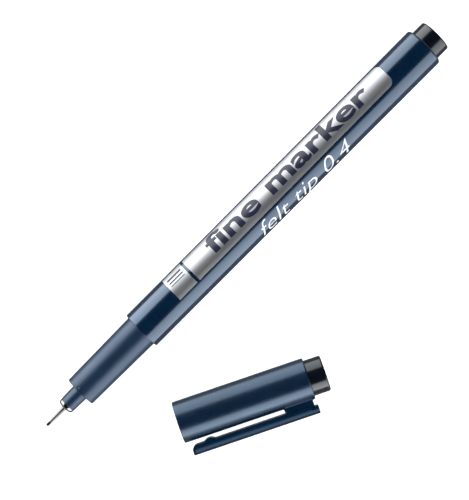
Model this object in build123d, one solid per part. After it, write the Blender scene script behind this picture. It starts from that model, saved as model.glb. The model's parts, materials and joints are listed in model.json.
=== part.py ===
from build123d import *
import os
from math import asin, degrees, hypot, sin, radians

# A fine felt tip marker, uncapped, lying on its side with its clip cap beside it.
#
# Millimetres, +Z up. The marker lies along X with its tip towards -X, and the cap lies on the -Y
# side of it. The origin is the middle of the underside of the two together. Each piece of the marker
# is made with its axis on X and the tip of the nib at 0, and each piece of the cap with its axis on X,
# its mouth at 0 and its clip towards -Y. Both groups are then put where they lie.

# Marker, lengths along its axis from the tip
nib_exposed = 1.2
sleeve_tube_length = 5.1
collar_thickness = 0.9
nose_length = 4.5
grip_length = 21.2
barrel_length = 98.4
rear_plug_length = 3.9

# Marker, outside radii
nib_radius = 0.40
tube_tip_radius = 0.52
tube_base_radius = 0.68
collar_radius = 2.10
nose_front_radius = 2.13
nose_rear_radius = 2.26
grip_front_radius = 4.14
grip_rear_radius = 4.43
barrel_front_radius = 5.22
barrel_rear_radius = 5.40
rear_plug_radius = 4.38

# Marker, inside
collar_crown = 0.30         # the collar stands proud of its rim by this much at the tube
shank_radius = 0.95         # the sleeve's shank, pressed into the nose
shank_length = 6.8
spigot_radius = 4.15        # the grip and the rear plug are both pressed into the barrel's bore
grip_spigot_length = 9.1
rear_spigot_length = 7.0
pocket_radius = 3.35        # holds each end of the ink reservoir
pocket_depth_rear = 4.7
reservoir_front = 22.0
reservoir_radius = 3.20
reservoir_gap = 0.5         # room between the reservoir and the floor of the rear plug's pocket
nib_dip = 4.0               # length of nib inside the reservoir
film_thickness = 0.10
film_margin = 0.8           # the film stops this far short of each end of the reservoir

# Label foil on the barrel
foil_thickness = 0.06
foil_front = 45.1
foil_split_start = 51.1
foil_split_end = 51.9
foil_rear = 119.4
foil_corner_radius = 1.6
foil_half_angle = 41.0
foil_turn = 27.0            # the middle of the foil is turned this far from the top, towards +Y

# Cap, lengths along its axis from its mouth
cap_length = 33.8
cap_plug_length = 4.3
cap_wide_bore_depth = 20.0
cap_plug_spigot = 4.0
cap_plug_cavity_depth = 4.8
seal_front = 21.7
seal_flange_length = 1.5

# Cap, radii
cap_radius = 5.27
cap_bore_radius = 4.50      # slides over the grip
cap_seat_radius = 4.30      # holds the inner seal and the end plug
cap_plug_radius = 4.53
cap_plug_cavity_radius = 1.50
seal_bore_radius = 2.30     # closes over the nose
seal_tube_radius = 3.10

# Clip, seen from above: distance from the mouth, and distance from the cap's axis
clip_inner = 6.36
clip_outer = 8.96
clip_width = 4.4
clip_tip = 1.2
clip_tip_curve = 1.5
clip_rear = 33.9
clip_crown = 2.0            # the long edges of its outer face are rounded by this much
pip_start = 4.5             # the raised pip that grips a pocket's edge
pip_end = 7.5
pip_height = 0.55
flex_station = 25.0         # the clip bends about a line across this station
flex_gap = 0.05
block_front = 25.6
block_rear = 33.0
notch_outer = 6.83          # a small notch parts the end of the clip from the block

# Softened edges
fine_edge = 0.12
small_edge = 0.25
plug_edge = 0.50
barrel_rear_edge = 0.70
cap_rear_edge = 0.35

# Where the cap lies: its mouth's place seen from the tip of the nib, and its turn from the marker
cap_mouth_along = 23.24
cap_mouth_aside = -22.4
cap_turn = -26.3

# Stations along the marker
collar_front = nib_exposed + sleeve_tube_length
nose_front = collar_front + collar_thickness
grip_front = nose_front + nose_length
barrel_front = grip_front + grip_length
barrel_rear = barrel_front + barrel_length
marker_length = barrel_rear + rear_plug_length
rear_spigot_front = barrel_rear - rear_spigot_length
reservoir_rear = rear_spigot_front + pocket_depth_rear - reservoir_gap


def turned(*outline):
    """A solid turned about X from corners given as (distance along X, radius)."""
    corners = [(along, 0, radius) for along, radius in outline]
    return revolve(make_face(Polyline(*corners, close=True)), Axis.X, 360)


def rod(start, end, radius, end_radius=None):
    """A plain round length on X, tapered where a second radius is given."""
    last = radius if end_radius is None else end_radius
    return turned((start, 0), (start, radius), (end, last), (end, 0))


def round_edges(solid, station, radius, size):
    """Rounds the circular edge at one station along X that has the given radius."""
    chosen = [
        edge
        for edge in solid.edges().filter_by(GeomType.CIRCLE)
        if abs(edge.arc_center.X - station) < 0.001 and abs(edge.radius - radius) < 0.001
    ]
    return fillet(chosen, size)


def barrel_radius_at(station):
    """The barrel is straight as far as the foil, then swells evenly to its rear end."""
    share = max(0.0, (station - foil_front) / (barrel_rear - foil_front))
    return barrel_front_radius + share * (barrel_rear_radius - barrel_front_radius)


def make_nib():
    tip = rod(0, reservoir_front + nib_dip, nib_radius)
    return round_edges(tip, 0, nib_radius, 0.8 * nib_radius)


def make_nib_sleeve():
    """The steel tube round the nib, its domed collar and the shank pressed into the nose."""
    shank_end = nose_front + shank_length
    body = turned(
        (nib_exposed, 0),
        (nib_exposed, tube_tip_radius),
        (collar_front - collar_crown, tube_base_radius),
        (collar_front + fine_edge, 0.9 * collar_radius),
        (collar_front + small_edge, collar_radius),
        (nose_front, collar_radius),
        (nose_front, shank_radius),
        (shank_end, shank_radius),
        (shank_end, 0),
    )
    return body - rod(0, shank_end + 1, nib_radius)


def make_front_grip():
    """The grip with its slim nose in front and its spigot in the barrel behind."""
    spigot_end = barrel_front + grip_spigot_length
    body = turned(
        (nose_front, 0),
        (nose_front, nose_front_radius),
        (grip_front, nose_rear_radius),
        (grip_front, grip_front_radius),
        (barrel_front, grip_rear_radius),
        (barrel_front, spigot_radius),
        (spigot_end, spigot_radius),
        (spigot_end, 0),
    )
    body = round_edges(body, grip_front, grip_front_radius, small_edge)
    body -= rod(nose_front - 1, nose_front + shank_length, shank_radius)
    body -= rod(nose_front, reservoir_front, nib_radius)
    return body - rod(reservoir_front, spigot_end + 1, pocket_radius)


def make_barrel():
    body = turned(
        (barrel_front, 0),
        (barrel_front, barrel_front_radius),
        (foil_front, barrel_front_radius),
        (barrel_rear, barrel_rear_radius),
        (barrel_rear, 0),
    )
    body = round_edges(body, barrel_rear, barrel_rear_radius, barrel_rear_edge)
    body = round_edges(body, barrel_front, barrel_front_radius, small_edge)
    return body - rod(barrel_front - 1, barrel_rear + 1, spigot_radius)


def make_foil(start, end, rear_corner=0.0):
    """One printed foil panel, a thin skin on the barrel between two stations."""
    inner = (barrel_radius_at(start), barrel_radius_at(end))
    ring = turned(
        (start, inner[0]),
        (start, inner[0] + foil_thickness),
        (end, inner[1] + foil_thickness),
        (end, inner[1]),
    )
    half_width = barrel_front_radius * sin(radians(foil_half_angle))
    middle = (start + end) / 2
    facing = Plane(
        origin=(middle, 0, 0),
        x_dir=(1, 0, 0),
        z_dir=(0, sin(radians(foil_turn)), sin(radians(90 - foil_turn))),
    )
    panel = Rectangle(end - start, 2 * half_width)
    if rear_corner:
        panel = fillet(panel.vertices().group_by(Axis.X)[-1], rear_corner)
    return ring & (facing * extrude(panel, 2 * barrel_rear_radius))


def make_ink_reservoir():
    body = rod(reservoir_front, reservoir_rear, reservoir_radius)
    return body - rod(reservoir_front - 1, reservoir_front + nib_dip, nib_radius)


def make_reservoir_film():
    start = reservoir_front + film_margin
    end = reservoir_rear - film_margin
    outside = rod(start, end, reservoir_radius + film_thickness)
    return outside - rod(start - 1, end + 1, reservoir_radius)


def make_rear_plug():
    body = turned(
        (rear_spigot_front, 0),
        (rear_spigot_front, spigot_radius),
        (barrel_rear, spigot_radius),
        (barrel_rear, rear_plug_radius),
        (marker_length, rear_plug_radius),
        (marker_length, 0),
    )
    body = round_edges(body, marker_length, rear_plug_radius, plug_edge)
    return body - rod(rear_spigot_front - 1, rear_spigot_front + pocket_depth_rear, pocket_radius)


def make_cap_shell():
    body = rod(0, cap_length, cap_radius)
    body = round_edges(body, cap_length, cap_radius, cap_rear_edge)
    body = round_edges(body, 0, cap_radius, fine_edge)
    lead_in = cap_bore_radius + small_edge
    body -= rod(0, small_edge, lead_in, cap_bore_radius)
    body -= rod(-1, cap_wide_bore_depth, cap_bore_radius)
    return body - rod(0, cap_length + 1, cap_seat_radius)


def make_cap_end_plug():
    spigot_front = cap_length - cap_plug_spigot
    end = cap_length + cap_plug_length
    body = turned(
        (spigot_front, 0),
        (spigot_front, cap_seat_radius),
        (cap_length, cap_seat_radius),
        (cap_length, cap_plug_radius),
        (end, cap_plug_radius),
        (end, 0),
    )
    body = round_edges(body, end, cap_plug_radius, plug_edge)
    return body - rod(spigot_front - 1, spigot_front + cap_plug_cavity_depth, cap_plug_cavity_radius)


def make_cap_inner_seal():
    """The inner cup that closes over the nose and keeps the nib from drying out."""
    end = cap_length - cap_plug_spigot
    flange_front = end - seal_flange_length
    body = rod(seal_front, end, seal_tube_radius) + rod(flange_front, end, cap_seat_radius)
    return body - rod(seal_front - 1, end + 1, seal_bore_radius)


def clip_bar(start, end, inner, outer):
    """A plain bar of the clip's width between two stations and two distances from the cap's axis."""
    middle = Pos((start + end) / 2, -(inner + outer) / 2, 0)
    return middle * Box(end - start, outer - inner, clip_width)


def crowned_bar(start, end, inner):
    """A bar that reaches out to the clip's outer face, with the long edges of that face rounded."""
    bar = clip_bar(start, end, inner, clip_outer)
    long_edges = [
        edge
        for edge in bar.edges().filter_by(Axis.X)
        if abs(edge.center().Y + clip_outer) < 0.001
    ]
    return fillet(long_edges, clip_crown)


def flex_line(radius):
    """The cylinder that the clip bends on, across the full width of the clip."""
    middle = -(clip_inner + clip_outer) / 2
    return Pos(flex_station, middle, 0) * Cylinder(radius, clip_width)


def make_cap_clip():
    """The sprung arm of the clip, with its curved tip, its pip and its rounded root."""
    pip_middle = (pip_start + pip_end) / 2
    knuckle = (clip_outer - clip_inner) / 2
    tip_inner = (clip_tip + clip_tip_curve, -clip_inner)
    tip_outer = (clip_tip, -clip_inner - clip_tip_curve)
    outline = Curve() + [
        Line((flex_station, -clip_inner), (pip_end, -clip_inner)),
        ThreePointArc(
            (pip_end, -clip_inner), (pip_middle, pip_height - clip_inner), (pip_start, -clip_inner)
        ),
        Line((pip_start, -clip_inner), tip_inner),
        TangentArc(tip_inner, tip_outer, tangent=(-1, 0)),
        Line(tip_outer, (clip_tip, -clip_outer)),
        Line((clip_tip, -clip_outer), (flex_station, -clip_outer)),
        ThreePointArc(
            (flex_station, -clip_outer),
            (flex_station + knuckle, -clip_inner - knuckle),
            (flex_station, -clip_inner),
        ),
    ]
    side = extrude(Plane.XY.offset(-clip_width / 2) * make_face(outline), clip_width)
    return side & crowned_bar(clip_tip, flex_station + knuckle, cap_radius)


def make_clip_root():
    """The block that stands on the cap and carries the clip, with the clip's short rear overhang."""
    block = clip_bar(block_front, block_rear, 0, notch_outer)
    tail = crowned_bar(flex_station, clip_rear, clip_inner)
    notch = clip_bar(block_rear, clip_rear + clip_width, cap_radius, notch_outer)
    root = block + (tail - notch) - rod(0, cap_length + 1, cap_radius)
    return root - flex_line((clip_outer - clip_inner) / 2 + flex_gap)


marker_pieces = {
    "nib": make_nib(),
    "nib_sleeve": make_nib_sleeve(),
    "front_grip": make_front_grip(),
    "barrel": make_barrel(),
    "label_main_panel": make_foil(foil_split_end, foil_rear, foil_corner_radius),
    "label_front_panel": make_foil(foil_front, foil_split_start),
    "ink_reservoir": make_ink_reservoir(),
    "reservoir_film": make_reservoir_film(),
    "rear_plug": make_rear_plug(),
}
cap_pieces = {
    "cap_shell": make_cap_shell(),
    "cap_end_plug": make_cap_end_plug(),
    "cap_inner_seal": make_cap_inner_seal(),
    "cap_clip_root": make_clip_root(),
    "cap_clip": make_cap_clip(),
}

# The widest extents across the layout are the barrel's rear end and the outer corner of the clip's tail.
clip_corner_distance = hypot(clip_rear, clip_outer)
clip_corner_turn = degrees(asin(clip_outer / clip_corner_distance)) - cap_turn
clip_reach = cap_mouth_aside - clip_corner_distance * sin(radians(clip_corner_turn))
middle_aside = (barrel_rear_radius + clip_reach) / 2
marker_place = Location((-marker_length / 2, -middle_aside, barrel_rear_radius))
cap_mouth = (cap_mouth_along - marker_length / 2, cap_mouth_aside - middle_aside, cap_radius)
cap_place = Location(cap_mouth, (0, 0, cap_turn))

os.makedirs("parts", exist_ok=True)
for group, place in ((marker_pieces, marker_place), (cap_pieces, cap_place)):
    for name, piece in group.items():
        export_step(place * piece, f"parts/{name}.step")
print("tip of the nib at", marker_place.position)
print("mouth of the cap at", cap_place.position)
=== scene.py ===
import json
from math import asin, atan2, cos, pi, radians, sin, sqrt, tan

import bmesh
import bpy
from mathutils import Matrix, Vector
from mathutils.geometry import delaunay_2d_cdt


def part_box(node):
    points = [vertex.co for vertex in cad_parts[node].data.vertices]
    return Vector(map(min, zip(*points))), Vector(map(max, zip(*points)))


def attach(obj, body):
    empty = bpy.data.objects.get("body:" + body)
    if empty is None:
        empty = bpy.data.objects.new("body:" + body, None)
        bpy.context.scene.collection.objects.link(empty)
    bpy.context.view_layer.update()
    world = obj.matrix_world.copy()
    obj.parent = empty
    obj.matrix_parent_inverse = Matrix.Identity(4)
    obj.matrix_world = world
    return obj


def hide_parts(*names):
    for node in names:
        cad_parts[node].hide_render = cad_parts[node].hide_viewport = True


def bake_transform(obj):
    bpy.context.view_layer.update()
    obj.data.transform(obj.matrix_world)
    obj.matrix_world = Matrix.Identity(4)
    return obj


# A fine felt tip marker, uncapped, and its clip cap beside it.
#
# Metres, +Z up. Each piece of the marker is made with its axis on X and the tip of the nib at 0, and
# each piece of the cap with its axis on X, its mouth at 0 and its clip towards -Y. A point's turn
# round an axis is measured from the top, towards +Y.

mm = 0.001

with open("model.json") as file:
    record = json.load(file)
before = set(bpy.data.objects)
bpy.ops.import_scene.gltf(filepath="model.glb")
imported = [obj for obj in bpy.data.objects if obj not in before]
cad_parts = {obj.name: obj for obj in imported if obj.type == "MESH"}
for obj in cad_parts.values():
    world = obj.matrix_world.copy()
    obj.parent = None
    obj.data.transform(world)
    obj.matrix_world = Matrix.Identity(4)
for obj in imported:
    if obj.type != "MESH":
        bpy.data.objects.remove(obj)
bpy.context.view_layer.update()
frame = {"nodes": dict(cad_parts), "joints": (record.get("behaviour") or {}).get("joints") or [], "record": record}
nodes = frame["nodes"]
mounts = {mount["name"]: mount for mount in frame["record"]["mounts"]}
joints = {joint["name"]: joint for joint in frame["joints"]}


def mount_radius(name):
    return mounts[name]["dims"]["r_mm"] * mm


def extent(node, place):
    """Lowest and highest corner of a CAD node, measured along the axes of `place`."""
    to_place = place.inverted()
    spots = [to_place @ vertex.co for vertex in nodes[node].data.vertices]
    low = Vector([min(spot[axis] for spot in spots) for axis in range(3)])
    high = Vector([max(spot[axis] for spot in spots) for axis in range(3)])
    return low, high


# Where the marker and the cap lie
marker_axis_point = Vector(mounts["rear_post"]["pos_m"])
tip_of_nib = Vector((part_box("nib")[0].x, marker_axis_point.y, marker_axis_point.z))
marker_place = Matrix.Translation(tip_of_nib)

into_cap = -Vector(mounts["cap_bore"]["axis"])
cap_turn = Matrix.Rotation(atan2(into_cap.y, into_cap.x), 4, "Z")
bore_place = Matrix.Translation(Vector(mounts["cap_bore"]["pos_m"])) @ cap_turn
mouth_from_bore = extent("cap_shell", bore_place)[0].x
cap_place = bore_place @ Matrix.Translation((mouth_from_bore, 0, 0))

# Stations along the marker, from the tip
sleeve_low, sleeve_high = extent("nib_sleeve", marker_place)
grip_low, grip_high = extent("front_grip", marker_place)
barrel_low, barrel_high = extent("barrel", marker_place)
rear_plug_low, rear_plug_high = extent("rear_plug", marker_place)
nib_high = extent("nib", marker_place)[1]
nib_exposed = sleeve_low.x
nib_rear = nib_high.x
nose_front = grip_low.x
nose_length = 4.5 * mm
collar_thickness = 0.9 * mm
collar_front = nose_front - collar_thickness
collar_dome_length = 0.3 * mm
tube_end = collar_front - collar_dome_length
shank_rear = sleeve_high.x
grip_front = nose_front + nose_length
grip_spigot_rear = grip_high.x
barrel_front = barrel_low.x
barrel_rear = barrel_high.x
reservoir_front = extent("ink_reservoir", marker_place)[0].x
rear_spigot_front = rear_plug_low.x
marker_rear = rear_plug_high.x

# Radii of the marker
nib_radius = nib_high.z
nib_bore_radius = nib_radius + 0.02 * mm
tube_tip_radius = 0.52 * mm
tube_base_radius = 0.68 * mm
collar_radius = sleeve_high.z
shank_radius = 0.95 * mm
nose_front_radius = 2.13 * mm
nose_rear_radius = 2.26 * mm
grip_front_radius = 4.14 * mm
grip_rear_radius = grip_high.z
barrel_front_radius = mount_radius("barrel_front")
barrel_rear_radius = barrel_high.z
rear_plug_radius = mount_radius("rear_post")
spigot_radius = 4.15 * mm
pocket_radius = 3.35 * mm

# The cap, from its mouth
shell_high = extent("cap_shell", cap_place)[1]
cap_plug_low, cap_plug_high = extent("cap_end_plug", cap_place)
cap_rear = shell_high.x
cap_radius = shell_high.z
cap_bore_radius = mount_radius("cap_bore")
cap_bore_depth = 20.0 * mm
cap_seat_radius = 4.3 * mm
cap_plug_front = cap_plug_low.x
cap_plug_rear = cap_plug_high.x
cap_plug_radius = cap_plug_high.z
cap_plug_cavity_radius = 1.5 * mm
cap_plug_cavity_depth = 4.8 * mm

# The clip: distances from the mouth, and from the cap's axis. It bends about a line midway between
# its inner and outer faces.
clip_low, clip_high = extent("cap_clip", cap_place)
flex_line = cap_place.inverted() @ Vector(joints["clip_flex"]["pos_m"])
clip_tip = clip_low.x
clip_rear = extent("cap_clip_root", cap_place)[1].x
clip_half_width = clip_high.z
clip_outer = -clip_low.y
clip_inner = -2 * flex_line.y - clip_outer
clip_tip_curve = 1.5 * mm
clip_end_edge = 0.2 * mm
clip_crown_out = 2.25 * mm
clip_crown_up = 2.15 * mm
pip_start = 4.5 * mm
pip_end = 7.5 * mm
pip_height = 0.55 * mm
block_front = 25.6 * mm
block_rear = 33.0 * mm
notch_front = block_rear - 1.0 * mm
notch_outer = 6.83 * mm

# The foil and the print on it. The foil's lower edge stands a little further out towards its front.
foil_front = extent("label_front_panel", marker_place)[0].x
foil_thickness = 0.06 * mm
foil_half_angle = radians(41)
foil_turn = radians(27)
foil_corner_radius = 1.6 * mm
foil_half_width = barrel_front_radius * sin(foil_half_angle)
foil_front_spread = 0.19 * mm
foil_rear_spread = -0.06 * mm
print_height = 0.02 * mm
print_depth = 0.05 * mm

# The studio's light
studio_white = (0.97, 0.985, 1.0)
left_glow = 4.2
right_glow = 3.1

crease_angle = radians(32)
around = 144


def barrel_radius_at(station):
    """The barrel is straight as far as the foil, then swells evenly to its rear end."""
    share = max(0.0, (station - foil_front) / (barrel_rear - foil_front))
    return barrel_front_radius + share * (barrel_rear_radius - barrel_front_radius)


# Mesh tools


def make_piece(name, build, place):
    """Turns a bmesh made along the axes of `place` into an object there, smooth with crisp edges."""
    mesh = bpy.data.meshes.new(name)
    build.to_mesh(mesh)
    build.free()
    piece = bpy.data.objects.new(name, mesh)
    bpy.context.scene.collection.objects.link(piece)
    piece.matrix_world = place
    shade(piece)
    return piece


def shade(piece):
    """Smooth shading, with the edges left crisp where two faces meet at more than the crease angle."""
    piece.data.shade_smooth()
    piece.data.set_sharp_from_angle(angle=crease_angle)
    if "even_shading" not in piece.modifiers:
        even = piece.modifiers.new("even_shading", "WEIGHTED_NORMAL")
        even.keep_sharp = True


def settle(piece):
    """Applies a piece's modifiers to its mesh, and shades it again."""
    shading = piece.modifiers.get("even_shading")
    if shading:
        piece.modifiers.remove(shading)
    bpy.context.view_layer.update()
    depsgraph = bpy.context.evaluated_depsgraph_get()
    piece.data = bpy.data.meshes.new_from_object(piece.evaluated_get(depsgraph))
    piece.modifiers.clear()
    shade(piece)


def rounded(corners, steps=6):
    """Outline points from corners of (along, radius, edge), each rounded by an arc of radius `edge`."""
    outline = []
    for index, (along, out, edge) in enumerate(corners):
        corner = Vector((along, out))
        if not edge:
            outline.append(tuple(corner))
            continue
        before = (Vector(corners[index - 1][:2]) - corner).normalized()
        after = (Vector(corners[(index + 1) % len(corners)][:2]) - corner).normalized()
        half = before.angle(after) / 2
        centre = corner + (before + after).normalized() * edge / sin(half)
        first = corner + before * edge / tan(half) - centre
        last = corner + after * edge / tan(half) - centre
        for step in range(steps + 1):
            outline.append(tuple(centre + first.lerp(last, step / steps).normalized() * edge))
    return outline


def even_turns(count=around):
    return [2 * pi * index / count for index in range(count)]


def lathe(name, outline, place, turns=None):
    """A closed mesh turned about X from points of (along, radius) that go round half the section."""
    turns = turns or even_turns()
    build = bmesh.new()
    rings = []
    for along, out in outline:
        ring_turns = turns if out > 0 else turns[:1]
        rings.append(
            [build.verts.new((along, out * sin(turn), out * cos(turn))) for turn in ring_turns]
        )
    pairs = list(zip(rings, rings[1:]))
    starts_off_axis = len(rings[0]) > 1
    if starts_off_axis:
        pairs.append((rings[-1], rings[0]))
    for ring, following in pairs:
        for index in range(len(turns)):
            other = (index + 1) % len(turns)
            corners = [
                ring[index % len(ring)],
                ring[other % len(ring)],
                following[other % len(following)],
                following[index % len(following)],
            ]
            without_repeats = list(dict.fromkeys(corners))
            build.faces.new(without_repeats)
    bmesh.ops.recalc_face_normals(build, faces=build.faces)
    return make_piece(name, build, place)


def loft(name, loops, place):
    """A closed mesh from loops of points, each with the same number of points, capped at both ends."""
    build = bmesh.new()
    rings = [[build.verts.new(point) for point in loop] for loop in loops]
    for ring, following in zip(rings, rings[1:]):
        for index in range(len(ring)):
            other = (index + 1) % len(ring)
            build.faces.new((ring[index], ring[other], following[other], following[index]))
    build.faces.new(rings[0])
    build.faces.new(rings[-1])
    bmesh.ops.recalc_face_normals(build, faces=build.faces)
    return make_piece(name, build, place)


def flat_face(name, corners):
    """A single flat face, its corners in the scene's own axes, for the studio."""
    build = bmesh.new()
    build.faces.new([build.verts.new(corner) for corner in corners])
    return make_piece(name, build, Matrix.Identity(4))


def thicken(piece, depth):
    """Turns an open skin, whose faces face outwards, into a closed sheet that reaches in by `depth`."""
    solid = piece.modifiers.new("thickness", "SOLIDIFY")
    solid.thickness = depth
    solid.offset = -1
    settle(piece)


# Material tools


def new_material(name):
    """A new material, with its node tree and its main shader."""
    material = bpy.data.materials.new(name)
    material.use_nodes = True
    tree = material.node_tree
    return material, tree, tree.nodes["Principled BSDF"]


def set_inputs(tree, node, inputs):
    """Sets inputs of a node. Each is a plain value or the output socket of another node."""
    for key, value in inputs.items():
        if isinstance(value, bpy.types.NodeSocket):
            tree.links.new(value, node.inputs[key])
        else:
            node.inputs[key].default_value = value


def add_node(tree, kind, inputs=None, **settings):
    """Adds a node, with settings such as its operation, and sets its inputs."""
    node = tree.nodes.new(kind)
    for name, value in settings.items():
        setattr(node, name, value)
    set_inputs(tree, node, inputs or {})
    return node


def maths(tree, operation, *values):
    """One sum on plain numbers or sockets, such as MULTIPLY_ADD, and the socket of its result."""
    inputs = dict(enumerate(values))
    return add_node(tree, "ShaderNodeMath", inputs, operation=operation).outputs[0]


def noise(tree, size, detail=3.0, stretch=(1, 1, 1)):
    """Noise whose features are about `size` across, drawn out along the piece's own axes."""
    spot = add_node(tree, "ShaderNodeTexCoord").outputs["Object"]
    scale = tuple(1 / (size * share) for share in stretch)
    spread = add_node(tree, "ShaderNodeVectorMath", {0: spot, 1: scale}, operation="MULTIPLY")
    inputs = {"Vector": spread.outputs["Vector"], "Scale": 1.0, "Detail": detail}
    return add_node(tree, "ShaderNodeTexNoise", inputs).outputs["Fac"]


def between(tree, value, low, high, from_low=0.3, from_high=0.7):
    """Maps a value from one range onto another. Noise mostly keeps to the range given here."""
    inputs = {
        "Value": value,
        "From Min": from_low,
        "From Max": from_high,
        "To Min": low,
        "To Max": high,
    }
    return add_node(tree, "ShaderNodeMapRange", inputs).outputs["Result"]


def mix_colours(tree, share, first, second):
    """Mixes two plain colours by a share that another node gives."""
    mixer = add_node(tree, "ShaderNodeMix", data_type="RGBA")
    inputs = {socket.identifier: socket for socket in mixer.inputs}
    outputs = {socket.identifier: socket for socket in mixer.outputs}
    tree.links.new(share, inputs["Factor_Float"])
    inputs["A_Color"].default_value = (*first, 1)
    inputs["B_Color"].default_value = (*second, 1)
    return outputs["Result_Color"]


def bump(tree, height, depth, under=None):
    """Bump from noise: the relief is `depth` deep and lies on top of another bump, if one is given."""
    inputs = {"Height": height, "Strength": 1.0, "Distance": depth}
    if under:
        inputs["Normal"] = under
    return add_node(tree, "ShaderNodeBump", inputs).outputs["Normal"]


# Materials


def moulded_plastic(slot, dark, light, roughness, ior, grain_depth, tint, grain_size=0.15 * mm):
    """Satin moulded plastic: slow shifts of colour and gloss, and a fine spark-eroded grain."""
    wave_depth = 6 * grain_depth
    material, tree, shader = new_material(slot)
    cloud = noise(tree, 5 * mm, stretch=(2, 1, 1))
    patches = noise(tree, 1.6 * mm, stretch=(2.5, 1, 1))
    grain = noise(tree, grain_size, detail=2)
    waves = bump(tree, noise(tree, 2.5 * mm, stretch=(3, 1, 1)), wave_depth)
    surface = {
        "Base Color": mix_colours(tree, between(tree, cloud, 0, 1), dark, light),
        "Roughness": between(tree, patches, *roughness),
        "Normal": bump(tree, grain, grain_depth, waves),
        "IOR": ior,
        "Specular IOR Level": 1.0,
        "Specular Tint": (*tint, 1),
    }
    set_inputs(tree, shader, surface)
    return material


def make_navy(colour_depth, roughness, ior, grain_depth, tint):
    """The navy plastic, in the finish that one part of its mould gives it."""
    navy_dark = (0.0001, 0.0085, 0.025)
    navy_light = (0.0004, 0.0118, 0.035)
    dark = [part * colour_depth for part in navy_dark]
    light = [part * colour_depth for part in navy_light]
    return moulded_plastic("navy_plastic", dark, light, roughness, ior, grain_depth, tint)


def make_black_plastic():
    return moulded_plastic(
        "black_plastic",
        dark=(0.001, 0.002, 0.0045),
        light=(0.002, 0.004, 0.007),
        roughness=(0.16, 0.21),
        ior=1.44,
        grain_depth=0.0006 * mm,
        tint=(0.93, 0.97, 1.0),
    )


def make_seal_plastic():
    return moulded_plastic(
        "seal_plastic",
        dark=(0.035, 0.036, 0.04),
        light=(0.06, 0.06, 0.066),
        roughness=(0.45, 0.55),
        ior=1.5,
        grain_depth=0.002 * mm,
        tint=(1, 1, 1),
        grain_size=0.2 * mm,
    )


def make_silver_foil():
    """Stamped foil, with the fine lengthwise lines of the roll that it came from."""
    material, tree, shader = new_material("silver_foil")
    cloud = between(tree, noise(tree, 3 * mm, stretch=(4, 1, 1)), 0, 1)
    lines = noise(tree, 0.12 * mm, detail=2, stretch=(40, 1, 1))
    surface = {
        "Metallic": 1.0,
        "Base Color": mix_colours(tree, cloud, (0.43, 0.44, 0.46), (0.51, 0.52, 0.54)),
        "Roughness": between(tree, lines, 0.44, 0.52),
        "Normal": bump(tree, lines, 0.0008 * mm),
    }
    set_inputs(tree, shader, surface)
    return material


def make_steel():
    """Stainless steel with faint turning marks round it. Painted shade makes the tube's colour darker than the
    collar's; both have the same gloss.
    """
    painted_tube_shade_share = 0.85
    painted_tube_shade_fade = 0.1 * mm
    material, tree, shader = new_material("steel")
    spot = add_node(tree, "ShaderNodeTexCoord").outputs["Object"]
    station = add_node(tree, "ShaderNodeSeparateXYZ", {0: spot}).outputs["X"]
    # Painted shade: the tube is darker than the collar, fading in over a short stretch at the tube's rear end.
    collar_out_of_painted_shade = between(tree, station, 0, painted_tube_shade_share, tube_end - painted_tube_shade_fade, tube_end)
    cloud = between(tree, noise(tree, 0.8 * mm), 0, 1)
    # Random tone from the cloud, plus the painted shade on the tube.
    tone_and_painted_shade = maths(tree, "MULTIPLY_ADD", cloud, 1 - painted_tube_shade_share, collar_out_of_painted_shade)
    marks = noise(tree, 0.03 * mm, detail=2, stretch=(1, 30, 30))
    surface = {
        "Metallic": 1.0,
        "Base Color": mix_colours(tree, tone_and_painted_shade, (0.24, 0.235, 0.23), (0.39, 0.38, 0.37)),
        "Roughness": between(tree, marks, 0.05, 0.09),
        "Normal": bump(tree, marks, 0.0003 * mm),
    }
    set_inputs(tree, shader, surface)
    return material


def fibre(slot, dark, light, strand_size, strand_depth):
    """Bonded fibre soaked with ink: strands that run lengthwise."""
    material, tree, shader = new_material(slot)
    strands = noise(tree, strand_size, detail=4, stretch=(14, 1, 1))
    surface = {
        "Base Color": mix_colours(tree, between(tree, strands, 0, 1), dark, light),
        "Roughness": between(tree, strands, 0.6, 0.85),
        "Normal": bump(tree, strands, strand_depth),
    }
    set_inputs(tree, shader, surface)
    return material


def make_nib_fibre():
    return fibre(
        "nib_fibre",
        dark=(0.004, 0.004, 0.005),
        light=(0.012, 0.012, 0.014),
        strand_size=0.05 * mm,
        strand_depth=0.008 * mm,
    )


def make_ink_fibre():
    return fibre(
        "ink_fibre",
        dark=(0.01, 0.01, 0.014),
        light=(0.035, 0.035, 0.045),
        strand_size=0.12 * mm,
        strand_depth=0.03 * mm,
    )


def make_clear_film():
    """Thin clear film, with long shallow creases."""
    material, tree, shader = new_material("clear_film")
    creases = noise(tree, 1.5 * mm, stretch=(6, 1, 1))
    cloud = between(tree, creases, 0, 1)
    surface = {
        "Transmission Weight": 0.8,
        "IOR": 1.5,
        "Base Color": mix_colours(tree, cloud, (0.78, 0.8, 0.83), (0.86, 0.88, 0.9)),
        "Roughness": between(tree, creases, 0.08, 0.2),
        "Normal": bump(tree, creases, 0.01 * mm),
    }
    set_inputs(tree, shader, surface)
    return material


def print_ink(slot, dark, light, roughness):
    """Printed ink: slightly uneven cover and gloss."""
    material, tree, shader = new_material(slot)
    cover = noise(tree, 0.35 * mm, detail=4)
    surface = {
        "Base Color": mix_colours(tree, between(tree, cover, 0, 1), dark, light),
        "Roughness": between(tree, cover, *roughness),
        "Normal": bump(tree, cover, 0.0012 * mm),
    }
    set_inputs(tree, shader, surface)
    return material


def make_dark_print():
    return print_ink("dark_print", (0.006, 0.009, 0.024), (0.011, 0.015, 0.036), (0.28, 0.36))


def make_white_print():
    return print_ink("white_print", (0.78, 0.8, 0.84), (0.88, 0.9, 0.93), (0.4, 0.5))


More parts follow.
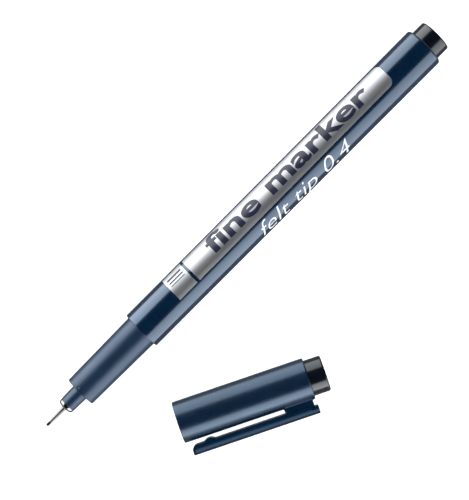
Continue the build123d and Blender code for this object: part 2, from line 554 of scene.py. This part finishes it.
barrel_tint = (0.64, 0.79, 1.0)
cap_tint = (0.57, 0.77, 1.0)
clip_tint = (0.42, 0.67, 1.0)
materials = {
    "navy_gloss": make_navy(
        colour_depth=0.95, roughness=(0.16, 0.20), ior=1.6, grain_depth=0.0004 * mm, tint=barrel_tint
    ),
    "navy_satin": make_navy(
        colour_depth=0.85, roughness=(0.26, 0.31), ior=1.58, grain_depth=0.0008 * mm, tint=cap_tint
    ),
    "navy_matt": make_navy(
        colour_depth=1.1, roughness=(0.37, 0.43), ior=1.5, grain_depth=0.0015 * mm, tint=barrel_tint
    ),
    "navy_clip": make_navy(
        colour_depth=0.9, roughness=(0.24, 0.29), ior=1.26, grain_depth=0.001 * mm, tint=clip_tint
    ),
    "black_plastic": make_black_plastic(),
    "seal_plastic": make_seal_plastic(),
    "silver_foil": make_silver_foil(),
    "steel": make_steel(),
    "nib_fibre": make_nib_fibre(),
    "ink_fibre": make_ink_fibre(),
    "clear_film": make_clear_film(),
    "dark_print": make_dark_print(),
    "white_print": make_white_print(),
}


def finish_piece(piece, body, finish, *replaced):
    """Gives a piece its material, sets whether reflections see it, attaches it to its body and hides the CAD nodes
    that it replaces.
    """
    piece.data.materials.clear()
    piece.data.materials.append(materials[finish])
    piece.visible_glossy = body != "marker"
    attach(piece, body)
    if replaced:
        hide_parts(*replaced)


def refinish_node(node, body, finish):
    """A CAD node that keeps its own mesh gets the better material."""
    nodes[node].visible_glossy = body != "marker"
    for slot in nodes[node].material_slots:
        slot.material = materials[finish]


# Pieces of the marker


def make_nib():
    tip_edge = 0.8 * nib_radius
    corners = [(0, 0, 0), (0, nib_radius, tip_edge), (nib_rear, nib_radius, 0), (nib_rear, 0, 0)]
    piece = lathe("nib_fibre_rod", rounded(corners), marker_place)
    finish_piece(piece, "marker", "nib_fibre", "nib")


def make_nib_sleeve():
    """The steel tube, its domed collar and the shank pressed into the nose."""
    dome_radius = 0.75 * mm
    rim_edge = 0.06 * mm
    corners = [
        (nib_exposed, nib_bore_radius, 0),
        (nib_exposed, tube_tip_radius, rim_edge),
        (tube_end, tube_base_radius, 0),
        (collar_front, collar_radius, dome_radius),
        (nose_front, collar_radius, rim_edge),
        (nose_front, shank_radius, 0),
        (shank_rear, shank_radius, 0.1 * mm),
        (shank_rear, nib_bore_radius, 0),
    ]
    piece = lathe("nib_sleeve_tube", rounded(corners), marker_place)
    finish_piece(piece, "marker", "steel", "nib_sleeve")


def make_front_grip():
    """The grip with its slim nose, its spigot, and the small gate mark near its front."""
    gate_from_front = 0.75 * mm
    gate_turn = radians(15)
    gate_radius = 0.32 * mm
    gate_depth = 0.12 * mm
    gate_flatness = 4
    gate_rings = (-1.2, -1, -0.8, -0.6, -0.3, 0, 0.3, 0.6, 0.8, 1, 1.2)
    close_step = radians(0.6)
    close_steps = 12
    close_reach = radians(8)

    slope = (grip_rear_radius - grip_front_radius) / (barrel_front - grip_front)
    near_gate = []
    for share in gate_rings:
        from_front = gate_from_front + share * gate_radius
        near_gate.append((grip_front + from_front, grip_front_radius + slope * from_front, 0))
    corners = [
        (nose_front, shank_radius, 0),
        (nose_front, nose_front_radius, 0.1 * mm),
        (grip_front, nose_rear_radius, 0.12 * mm),
        (grip_front, grip_front_radius, 0.22 * mm),
        *near_gate,
        (barrel_front, grip_rear_radius, 0),
        (barrel_front, spigot_radius, 0),
        (grip_spigot_rear, spigot_radius, 0.3 * mm),
        (grip_spigot_rear, pocket_radius, 0),
        (reservoir_front, pocket_radius, 0),
        (reservoir_front, nib_bore_radius, 0),
        (shank_rear, nib_bore_radius, 0),
        (shank_rear, shank_radius, 0),
    ]
    close_turns = [gate_turn + close_step * step for step in range(-close_steps, close_steps + 1)]
    far_turns = [turn for turn in even_turns() if abs(turn - gate_turn) > close_reach]
    turns = sorted(close_turns + far_turns)
    piece = lathe("front_grip_moulding", rounded(corners), marker_place, turns)

    gate_station = grip_front + gate_from_front
    for vertex in piece.data.vertices:
        out = Vector((0, vertex.co.y, vertex.co.z))
        on_surface = out.length > grip_front_radius - 0.1 * mm
        sideways = (atan2(vertex.co.y, vertex.co.z) - gate_turn) * out.length
        away = Vector((vertex.co.x - gate_station, sideways)).length / gate_radius
        if on_surface and away < 1:
            vertex.co -= out.normalized() * gate_depth * (1 - away ** gate_flatness)
    finish_piece(piece, "marker", "navy_matt", "front_grip")


def make_barrel():
    corners = [
        (barrel_front, spigot_radius, 0),
        (barrel_front, barrel_front_radius, 0.2 * mm),
        (foil_front, barrel_front_radius, 0),
        (barrel_rear, barrel_rear_radius, 0.65 * mm),
        (barrel_rear, spigot_radius, 0),
    ]
    piece = lathe("barrel_moulding", rounded(corners), marker_place)
    finish_piece(piece, "marker", "navy_gloss", "barrel")


def plug_end(end, radius):
    """Corners for a plug's outer end: its rounded rim and the shallow moulded recess in its face."""
    rim_edge = 0.48 * mm
    recess_radius = 0.36 * radius
    recess_depth = 0.3 * mm
    recess_slope = 0.1 * mm
    recess_edge = 0.08 * mm
    return [
        (end, radius, rim_edge),
        (end, recess_radius + recess_slope, recess_edge),
        (end - recess_depth, recess_radius, recess_edge),
        (end - recess_depth, 0, 0),
    ]


def make_rear_plug():
    pocket_depth = 4.7 * mm
    pocket_floor = rear_spigot_front + pocket_depth
    corners = [
        (pocket_floor, 0, 0),
        (pocket_floor, pocket_radius, 0),
        (rear_spigot_front, pocket_radius, 0),
        (rear_spigot_front, spigot_radius, 0.3 * mm),
        (barrel_rear, spigot_radius, 0),
        (barrel_rear, rear_plug_radius, 0.05 * mm),
        *plug_end(marker_rear, rear_plug_radius),
    ]
    piece = lathe("rear_plug_moulding", rounded(corners), marker_place)
    finish_piece(piece, "marker", "black_plastic", "rear_plug")


def foil_sheet(name, node, rear_corner):
    """One foil panel: a skin that follows the swelling barrel between two straight edges."""
    columns = 40
    corner_columns = 10
    rows = 28
    front, rear = (corner.x for corner in extent(node, marker_place))
    curve_start = rear - rear_corner
    stations = [front + (curve_start - front) * index / columns for index in range(columns + 1)]
    if rear_corner:
        for index in range(1, corner_columns + 1):
            quarter_share = sin(radians(90) * index / corner_columns)
            stations.append(curve_start + rear_corner * quarter_share)
    build = bmesh.new()
    grid = []
    for station in stations:
        into_corner = max(0.0, station - curve_start)
        reach = foil_half_width - rear_corner
        reach += sqrt(max(0.0, rear_corner ** 2 - into_corner ** 2))
        skin = barrel_radius_at(station) + foil_thickness
        way = (station - foil_front) / (barrel_rear - foil_front)
        spread = foil_front_spread + way * (foil_rear_spread - foil_front_spread)
        row = []
        for index in range(rows + 1):
            share = 2 * index / rows - 1
            lower_share = (1 - share) / 2
            turn = foil_turn + asin((share * reach - lower_share * spread) / skin)
            row.append(build.verts.new((station, skin * sin(turn), skin * cos(turn))))
        grid.append(row)
    for row, following in zip(grid, grid[1:]):
        for index in range(rows):
            build.faces.new((row[index], following[index], following[index + 1], row[index + 1]))
    piece = make_piece(name, build, marker_place)
    thicken(piece, foil_thickness)
    finish_piece(piece, "marker", "silver_foil", node)


# Print on the marker


def times_round(spot, outline):
    """How many times the directed edges of an outline go anticlockwise round a spot."""
    times = 0
    for start, end in outline:
        side = (end - start).cross(spot - start)
        if start.y <= spot.y < end.y and side > 0:
            times += 1
        elif end.y <= spot.y < start.y and side < 0:
            times -= 1
    return times


def thickened(spots, edges, weight):
    """The corners of anticlockwise outlines, moved so that every edge shifts outwards by `weight`."""
    sharpest = 0.3
    following = dict(edges)
    previous = {end: start for start, end in edges}
    moved = []
    for index, spot in enumerate(spots):
        arriving = (spot - spots[previous[index]]).normalized()
        leaving = (spots[following[index]] - spot).normalized()
        out = Vector((arriving.y + leaving.y, -arriving.x - leaving.x))
        moved.append(spot + out * weight / max(sharpest, 1 + arriving.dot(leaving)))
    return moved


def flat_text(words, weight, slant):
    """Filled letters of size 1 in the XY plane as a bmesh, from the font built into Blender.

    The weight can make an outline cross itself, so the plane is divided along the outlines, and the
    faces that lie inside a letter are kept.
    """
    curve_steps = 5
    whole_plane = 0
    closest = 1e-5
    curve = bpy.data.curves.new("letters", "FONT")
    curve.body = words
    curve.shear = slant
    curve.resolution_u = curve_steps
    curve.fill_mode = "NONE"
    flat = bpy.data.objects.new("letters", curve)
    bpy.context.scene.collection.objects.link(flat)
    bpy.context.view_layer.update()
    depsgraph = bpy.context.evaluated_depsgraph_get()
    mesh = bpy.data.meshes.new_from_object(flat.evaluated_get(depsgraph))
    edges = [tuple(edge.vertices) for edge in mesh.edges]
    spots = thickened([vertex.co.to_2d() for vertex in mesh.vertices], edges, weight)
    outline = [(spots[start], spots[end]) for start, end in edges]
    bpy.data.objects.remove(flat)
    bpy.data.curves.remove(curve)
    bpy.data.meshes.remove(mesh)
    spots, _, faces = delaunay_2d_cdt(spots, edges, [], whole_plane, closest)[:3]
    build = bmesh.new()
    corners = [build.verts.new(spot.to_3d()) for spot in spots]
    for face in faces:
        middle = sum((spots[index] for index in face), Vector((0, 0))) / len(face)
        if times_round(middle, outline) > 0:
            build.faces.new([corners[index] for index in face])
    unused = [corner for corner in corners if not corner.link_faces]
    bmesh.ops.delete(build, geom=unused, context="VERTS")
    return build


def wrap(build, name, lift, finish):
    """Wraps a flat bmesh of (along, distance round the barrel from the top) on the barrel as print."""
    slice_width = 0.22 * mm
    closest = 1e-8
    lowest = min(vertex.co.y for vertex in build.verts)
    highest = max(vertex.co.y for vertex in build.verts)
    cuts = int((highest - lowest) / slice_width)
    for index in range(1, cuts + 1):
        everything = build.verts[:] + build.edges[:] + build.faces[:]
        bmesh.ops.bisect_plane(
            build,
            geom=everything,
            plane_co=(0, lowest + index * slice_width, 0),
            plane_no=(0, 1, 0),
            dist=closest,
        )
    for vertex in build.verts:
        skin = barrel_radius_at(vertex.co.x) + lift + print_height
        turn = vertex.co.y / skin
        vertex.co = Vector((vertex.co.x, skin * sin(turn), skin * cos(turn)))
    piece = make_piece(name, build, marker_place)
    thicken(piece, print_depth)
    finish_piece(piece, "marker", finish)


def print_words(name, words, front, rear, base_turn, size, weight, slant, lift, finish):
    """Words that fill the length from front to rear, with their baseline at one turn from the top."""
    build = flat_text(words, weight, slant)
    left = min(vertex.co.x for vertex in build.verts)
    right = max(vertex.co.x for vertex in build.verts)
    stretch = (rear - front) / (right - left)
    base = base_turn * (barrel_front_radius + lift)
    for vertex in build.verts:
        vertex.co = Vector((front + (vertex.co.x - left) * stretch, base + vertex.co.y * size, 0))
    wrap(build, name, lift, finish)


def print_lines():
    """Three plain lines of growing thickness on the front foil panel."""
    front, rear = (corner.x for corner in extent("label_front_panel", marker_place))
    margin = 0.75 * mm
    widths = (0.28 * mm, 0.45 * mm, 0.7 * mm)
    gap = 0.5 * mm
    first_turn = radians(24)
    out = first_turn * barrel_front_radius
    build = bmesh.new()
    for width in widths:
        corners = [
            (front + margin, out, 0),
            (rear - margin, out, 0),
            (rear - margin, out + width, 0),
            (front + margin, out + width, 0),
        ]
        build.faces.new([build.verts.new(corner) for corner in corners])
        out += width + gap
    wrap(build, "panel_lines_print", foil_thickness, "dark_print")


# Pieces of the cap


def make_cap_shell():
    mouth_bevel = 0.25 * mm
    corners = [
        (0, cap_bore_radius + mouth_bevel, 0.08 * mm),
        (0, cap_radius, 0.12 * mm),
        (cap_rear, cap_radius, 0.32 * mm),
        (cap_rear, cap_seat_radius, 0),
        (cap_bore_depth, cap_seat_radius, 0),
        (cap_bore_depth, cap_bore_radius, 0),
        (mouth_bevel, cap_bore_radius, 0),
    ]
    piece = lathe("cap_shell_moulding", rounded(corners), cap_place)
    finish_piece(piece, "cap", "navy_satin", "cap_shell")


def make_cap_end_plug():
    cavity_floor = cap_plug_front + cap_plug_cavity_depth
    corners = [
        (cavity_floor, 0, 0),
        (cavity_floor, cap_plug_cavity_radius, 0),
        (cap_plug_front, cap_plug_cavity_radius, 0),
        (cap_plug_front, cap_seat_radius, 0.2 * mm),
        (cap_rear, cap_seat_radius, 0),
        (cap_rear, cap_plug_radius, 0.05 * mm),
        *plug_end(cap_plug_rear, cap_plug_radius),
    ]
    piece = lathe("cap_end_plug_moulding", rounded(corners), cap_place)
    finish_piece(piece, "cap", "black_plastic", "cap_end_plug")


def clip_inner_at(station):
    """How far the clip's inner face stands from the cap's axis: tip curve, pip, arm, then notch."""
    tip_curve_end = clip_tip + clip_tip_curve
    if station < tip_curve_end:
        into_curve = tip_curve_end - station
        return clip_inner + clip_tip_curve - sqrt(max(0.0, clip_tip_curve ** 2 - into_curve ** 2))
    if pip_start < station < pip_end:
        share = (station - pip_start) / (pip_end - pip_start)
        return clip_inner - pip_height * sin(pi * share)
    if station > notch_front:
        return notch_outer
    return clip_inner


def clip_section(station, squeeze=0.0):
    """The clip's cross-section: a flat inner face and a crowned outer face."""
    tip_rounding = 0.9 * mm
    inner_edge = 0.18 * mm
    most_crown = 0.87
    most_edge = 0.2
    steps = 7
    inner = clip_inner_at(station) + squeeze
    outer = clip_outer - squeeze
    half = clip_half_width - squeeze
    into_tip = max(0.0, clip_tip + tip_rounding - station)
    half -= tip_rounding - sqrt(max(0.0, tip_rounding ** 2 - into_tip ** 2))
    depth = outer - inner
    crown_out = min(clip_crown_out, most_crown * depth)
    crown_up = min(clip_crown_up, half)
    inner_out = min(inner_edge, most_edge * depth)
    arcs = (
        (inner + inner_out, half - inner_edge, inner_out, inner_edge, 180, 90),
        (outer - crown_out, half - crown_up, crown_out, crown_up, 90, 0),
        (outer - crown_out, crown_up - half, crown_out, crown_up, 0, -90),
        (inner + inner_out, inner_edge - half, inner_out, inner_edge, -90, -180),
    )
    points = []
    for out, up, out_size, up_size, first, last in arcs:
        for step in range(steps + 1):
            turn = radians(first + (last - first) * step / steps)
            points.append((station, -out - out_size * cos(turn), up + up_size * sin(turn)))
    return points


def clip_stations():
    """Stations along the clip, close together where its shape or its bend changes."""
    tip_steps = 12
    pip_steps = 14
    arm_steps = 30
    notch_half_step = 0.01 * mm
    stations = []
    for step in range(tip_steps + 1):
        stations.append(clip_tip + clip_tip_curve * (1 - cos(radians(90) * step / tip_steps)))
    for step in range(pip_steps + 1):
        stations.append(pip_start + (pip_end - pip_start) * step / pip_steps)
    for step in range(1, arm_steps + 1):
        stations.append(pip_end + (block_front - pip_end) * step / arm_steps)
    stations += [notch_front - notch_half_step, notch_front + notch_half_step]
    stations.append(clip_rear - clip_end_edge)
    return stations


def block_loop(height, growth, level=None):
    """One loop round the clip's block, at a height above the shell or at a level from the axis."""
    corner = 0.45 * mm
    corner_steps = 5
    side_steps = 8
    side_inset = 0.1 * mm
    last_station = cap_rear - 0.1 * mm
    half_length = (block_rear - block_front) / 2 - corner
    middle = (block_front + block_rear) / 2
    half_width = clip_half_width - side_inset - corner
    reach = corner + growth
    plan = []
    quarters = ((1, 1, 0), (-1, 1, 90), (-1, -1, 180), (1, -1, 270))
    for along_sign, up_sign, first in quarters:
        for step in range(corner_steps + 1):
            turn = radians(first + 90 * step / corner_steps)
            along = middle + along_sign * half_length + reach * cos(turn)
            up = up_sign * half_width + reach * sin(turn)
            plan.append((min(along, last_station), up))
        goes_across_next = along_sign != up_sign
        if goes_across_next:
            along, start_up = plan[-1]
            end_up = -up_sign * half_width
            for step in range(1, side_steps):
                plan.append((along, start_up + (end_up - start_up) * step / side_steps))
    loop = []
    for along, up in plan:
        out = level or sqrt((cap_radius + height) ** 2 - up ** 2)
        loop.append((along, -out, up))
    return loop


def make_clip_arm():
    """The arm and its tail, with a small edge round the rear end."""
    rear_squeeze = 0.16 * mm
    sections = [clip_section(station) for station in clip_stations()]
    last_section = clip_section(clip_rear - clip_end_edge, rear_squeeze)
    sections.append([(clip_rear, y, z) for _, y, z in last_section])
    return loft("cap_clip_moulding", sections, cap_place)


def make_clip_block():
    """The block between shell and arm. It flares where it meets the shell, and ends inside the arm."""
    flare = 0.35 * mm
    flare_steps = 6
    into_shell = 0.15 * mm
    into_arm = 0.4 * mm
    loops = [block_loop(-into_shell, flare)]
    for index in range(flare_steps + 1):
        turn = radians(90) * index / flare_steps
        loops.append(block_loop(flare * (1 - cos(turn)), flare * (1 - sin(turn))))
    loops.append(block_loop(0, 0, clip_inner + into_arm))
    return loft("clip_block", loops, cap_place)


def make_clip():
    """Arm, tail and block in one mesh, since the real clip is one moulding with its cap."""
    clip = make_clip_arm()
    block = make_clip_block()
    join = clip.modifiers.new("join", "BOOLEAN")
    join.operation = "UNION"
    join.solver = "EXACT"
    join.object = block
    settle(clip)
    bpy.data.objects.remove(block)
    clip.data.materials.clear()
    clip.data.materials.append(materials["navy_clip"])
    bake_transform(clip)
    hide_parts("cap_clip", "cap_clip_root")


# Studio


def make_floor():
    """A large white floor. It glows a little, so that the shadows on it stay pale."""
    half = 10.0
    corners = [(-half, -half, 0), (half, -half, 0), (half, half, 0), (-half, half, 0)]
    floor = flat_face("studio_floor", corners)
    material, tree, shader = new_material("studio_floor")
    surface = {
        "Base Color": (0.9, 0.9, 0.9, 1),
        "Roughness": 1.0,
        "Specular IOR Level": 0.0,
        "Emission Color": (1, 1, 1, 1),
        "Emission Strength": 0.68,
    }
    set_inputs(tree, shader, surface)
    floor.data.materials.append(material)
    floor.visible_glossy = False


def ramp(tree, value, low, high):
    """0 below `low`, 1 above `high`, with a smooth step between."""
    inputs = {"Value": value, "From Min": low, "From Max": high}
    node = add_node(tree, "ShaderNodeMapRange", inputs, interpolation_type="SMOOTHSTEP")
    return node.outputs["Result"]


def make_world():
    """Two long softboxes beside the marker, in a dark room with a pale backdrop.

    `x`, `y` and `z` are a direction's parts, and its roll is its angle from straight up round X.
    The nib is towards -X. The boxes lean and skew along X, and fade out before they reach its ends.
    """
    box_top = radians(44.5)
    box_bottom = radians(108)
    edge = radians(3)
    top_lean_to_nib = radians(14)
    bottom_skew_to_nib = radians(95)
    bottom_skew_to_rear = radians(25)
    top_share = 0.75
    full_share_roll = radians(85)
    fade_start = 0.50
    fade_end = 0.85
    nib_end, nib_end_share = -0.35, 1.357
    rear_end, rear_end_share = 0.4, 0.59
    overhead_glow = 0.006
    below_glow = 0.25
    backdrop_glow = 1.1

    world = bpy.data.worlds.new("studio")
    bpy.context.scene.world = world
    world.use_nodes = True
    tree = world.node_tree
    direction = add_node(tree, "ShaderNodeTexCoord").outputs["Generated"]
    x, y, z = add_node(tree, "ShaderNodeSeparateXYZ", {0: direction}).outputs
    roll = maths(tree, "ARCTAN2", maths(tree, "ABSOLUTE", y), z)

    to_nib = maths(tree, "MINIMUM", x, 0.0)
    top_roll = maths(tree, "MULTIPLY_ADD", to_nib, -top_lean_to_nib, roll)
    above = ramp(tree, top_roll, box_top - edge, box_top + edge)
    bend = maths(tree, "MULTIPLY", x, maths(tree, "ABSOLUTE", x))
    bend_to_rear = maths(tree, "MAXIMUM", bend, 0.0)
    bend_to_nib = maths(tree, "MINIMUM", bend, 0.0)
    bottom_roll = maths(tree, "MULTIPLY_ADD", bend_to_rear, -bottom_skew_to_rear, roll)
    bottom_roll = maths(tree, "MULTIPLY_ADD", bend_to_nib, -bottom_skew_to_nib, bottom_roll)
    below = ramp(tree, bottom_roll, box_bottom - edge, box_bottom + edge)
    ends = ramp(tree, maths(tree, "ABSOLUTE", x), fade_start, fade_end)
    outwards = ramp(tree, roll, box_top, full_share_roll)

    in_box = maths(tree, "MULTIPLY", above, maths(tree, "SUBTRACT", 1.0, below))
    in_box = maths(tree, "MULTIPLY", in_box, maths(tree, "SUBTRACT", 1.0, ends))
    share = maths(tree, "MULTIPLY_ADD", outwards, 1 - top_share, top_share)
    in_box = maths(tree, "MULTIPLY", in_box, share)
    left = maths(tree, "GREATER_THAN", y, 0.0)
    glow = maths(tree, "MULTIPLY_ADD", left, left_glow - right_glow, right_glow)
    glow_share = between(tree, x, nib_end_share, rear_end_share, nib_end, rear_end)
    glow = maths(tree, "MULTIPLY", glow, glow_share)
    room = maths(tree, "MULTIPLY_ADD", below, below_glow - overhead_glow, overhead_glow)
    light = maths(tree, "MULTIPLY_ADD", in_box, glow, room)
    seen = add_node(tree, "ShaderNodeLightPath").outputs["Is Camera Ray"]
    backdrop = maths(tree, "MULTIPLY", seen, backdrop_glow)
    strength = maths(tree, "MAXIMUM", light, backdrop)
    surface = {"Color": (*studio_white, 1), "Strength": strength}
    set_inputs(tree, tree.nodes["Background"], surface)


def make_overhead_light():
    """A soft light from straight above, which is seen in no reflection."""
    size = 0.6
    height = 0.8
    watts = 4.4
    light = bpy.data.lights.new("overhead_light", "AREA")
    light.shape = "SQUARE"
    light.size = size
    light.energy = watts
    light.color = studio_white
    holder = bpy.data.objects.new("overhead_light", light)
    holder.matrix_world = Matrix.Translation((0, 0, height))
    holder.visible_glossy = False
    bpy.context.scene.collection.objects.link(holder)


def make_glow_card():
    """A slim card between the marker and its cap, as bright as the softbox that the cap hides.

    It glows on the side that faces the marker, and is seen only in reflections.
    """
    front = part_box("front_grip")[0].x - 10 * mm
    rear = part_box("cap_end_plug")[1].x + 15 * mm
    low = marker_axis_point.z + 0.7 * mm
    high = marker_axis_point.z + 8.0 * mm
    marker_side = marker_axis_point.y - barrel_rear_radius
    aside = (marker_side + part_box("cap_shell")[1].y) / 2
    corners = [(front, aside, low), (front, aside, high), (rear, aside, high), (rear, aside, low)]
    card = flat_face("glow_card", corners)
    material, tree, shader = new_material("glow_card")
    tree.nodes.remove(shader)
    colour = (*studio_white, 1)
    glow = add_node(tree, "ShaderNodeEmission", {"Color": colour, "Strength": right_glow})
    clear = add_node(tree, "ShaderNodeBsdfTransparent")
    far_side = add_node(tree, "ShaderNodeNewGeometry").outputs["Backfacing"]
    shaders = {0: far_side, 1: glow.outputs[0], 2: clear.outputs[0]}
    sides = add_node(tree, "ShaderNodeMixShader", shaders)
    set_inputs(tree, tree.nodes["Material Output"], {"Surface": sides.outputs[0]})
    card.data.materials.append(material)
    card.visible_camera = False
    card.visible_diffuse = False
    card.visible_transmission = False
    card.visible_shadow = False


def make_camera():
    """Straight above the middle of the marker, turned so that the marker runs from corner to corner."""
    along = 63.0 * mm
    aside = -2.25 * mm
    height = 526 * mm
    turn = radians(-45.13)
    focal_length_in_mm = 154.4
    sensor_width_in_mm = 36
    nearest = 0.01
    farthest = 30
    camera = bpy.data.cameras.new("camera")
    camera.lens = focal_length_in_mm
    camera.sensor_width = sensor_width_in_mm
    camera.clip_start = nearest
    camera.clip_end = farthest
    holder = bpy.data.objects.new("camera", camera)
    holder.matrix_world = (
        marker_place @ Matrix.Translation((along, aside, height)) @ Matrix.Rotation(turn, 4, "Z")
    )
    bpy.context.scene.collection.objects.link(holder)
    bpy.context.scene.camera = holder
    bpy.context.scene.view_settings.view_transform = "Standard"


make_camera()
make_world()
make_overhead_light()
make_glow_card()
make_floor()

make_nib()
make_nib_sleeve()
make_front_grip()
make_barrel()
make_rear_plug()
foil_sheet("foil_main_panel", "label_main_panel", foil_corner_radius)
foil_sheet("foil_front_panel", "label_front_panel", 0.0)
print_words(
    "bold_words_print",
    "fine marker",
    front=58.6 * mm,
    rear=113.2 * mm,
    base_turn=radians(6.5),
    size=7.1 * mm,
    weight=0.03,
    slant=0.0,
    lift=foil_thickness,
    finish="dark_print",
)
print_words(
    "slanted_words_print",
    "felt tip 0.4",
    front=70.7 * mm,
    rear=101.2 * mm,
    base_turn=radians(-70),
    size=6.3 * mm,
    weight=-0.014,
    slant=0.3,
    lift=0.0,
    finish="white_print",
)
print_lines()

make_cap_shell()
make_cap_end_plug()
make_clip()

refinish_node("ink_reservoir", "marker", "ink_fibre")
refinish_node("reservoir_film", "marker", "clear_film")
refinish_node("cap_inner_seal", "cap", "seal_plastic")
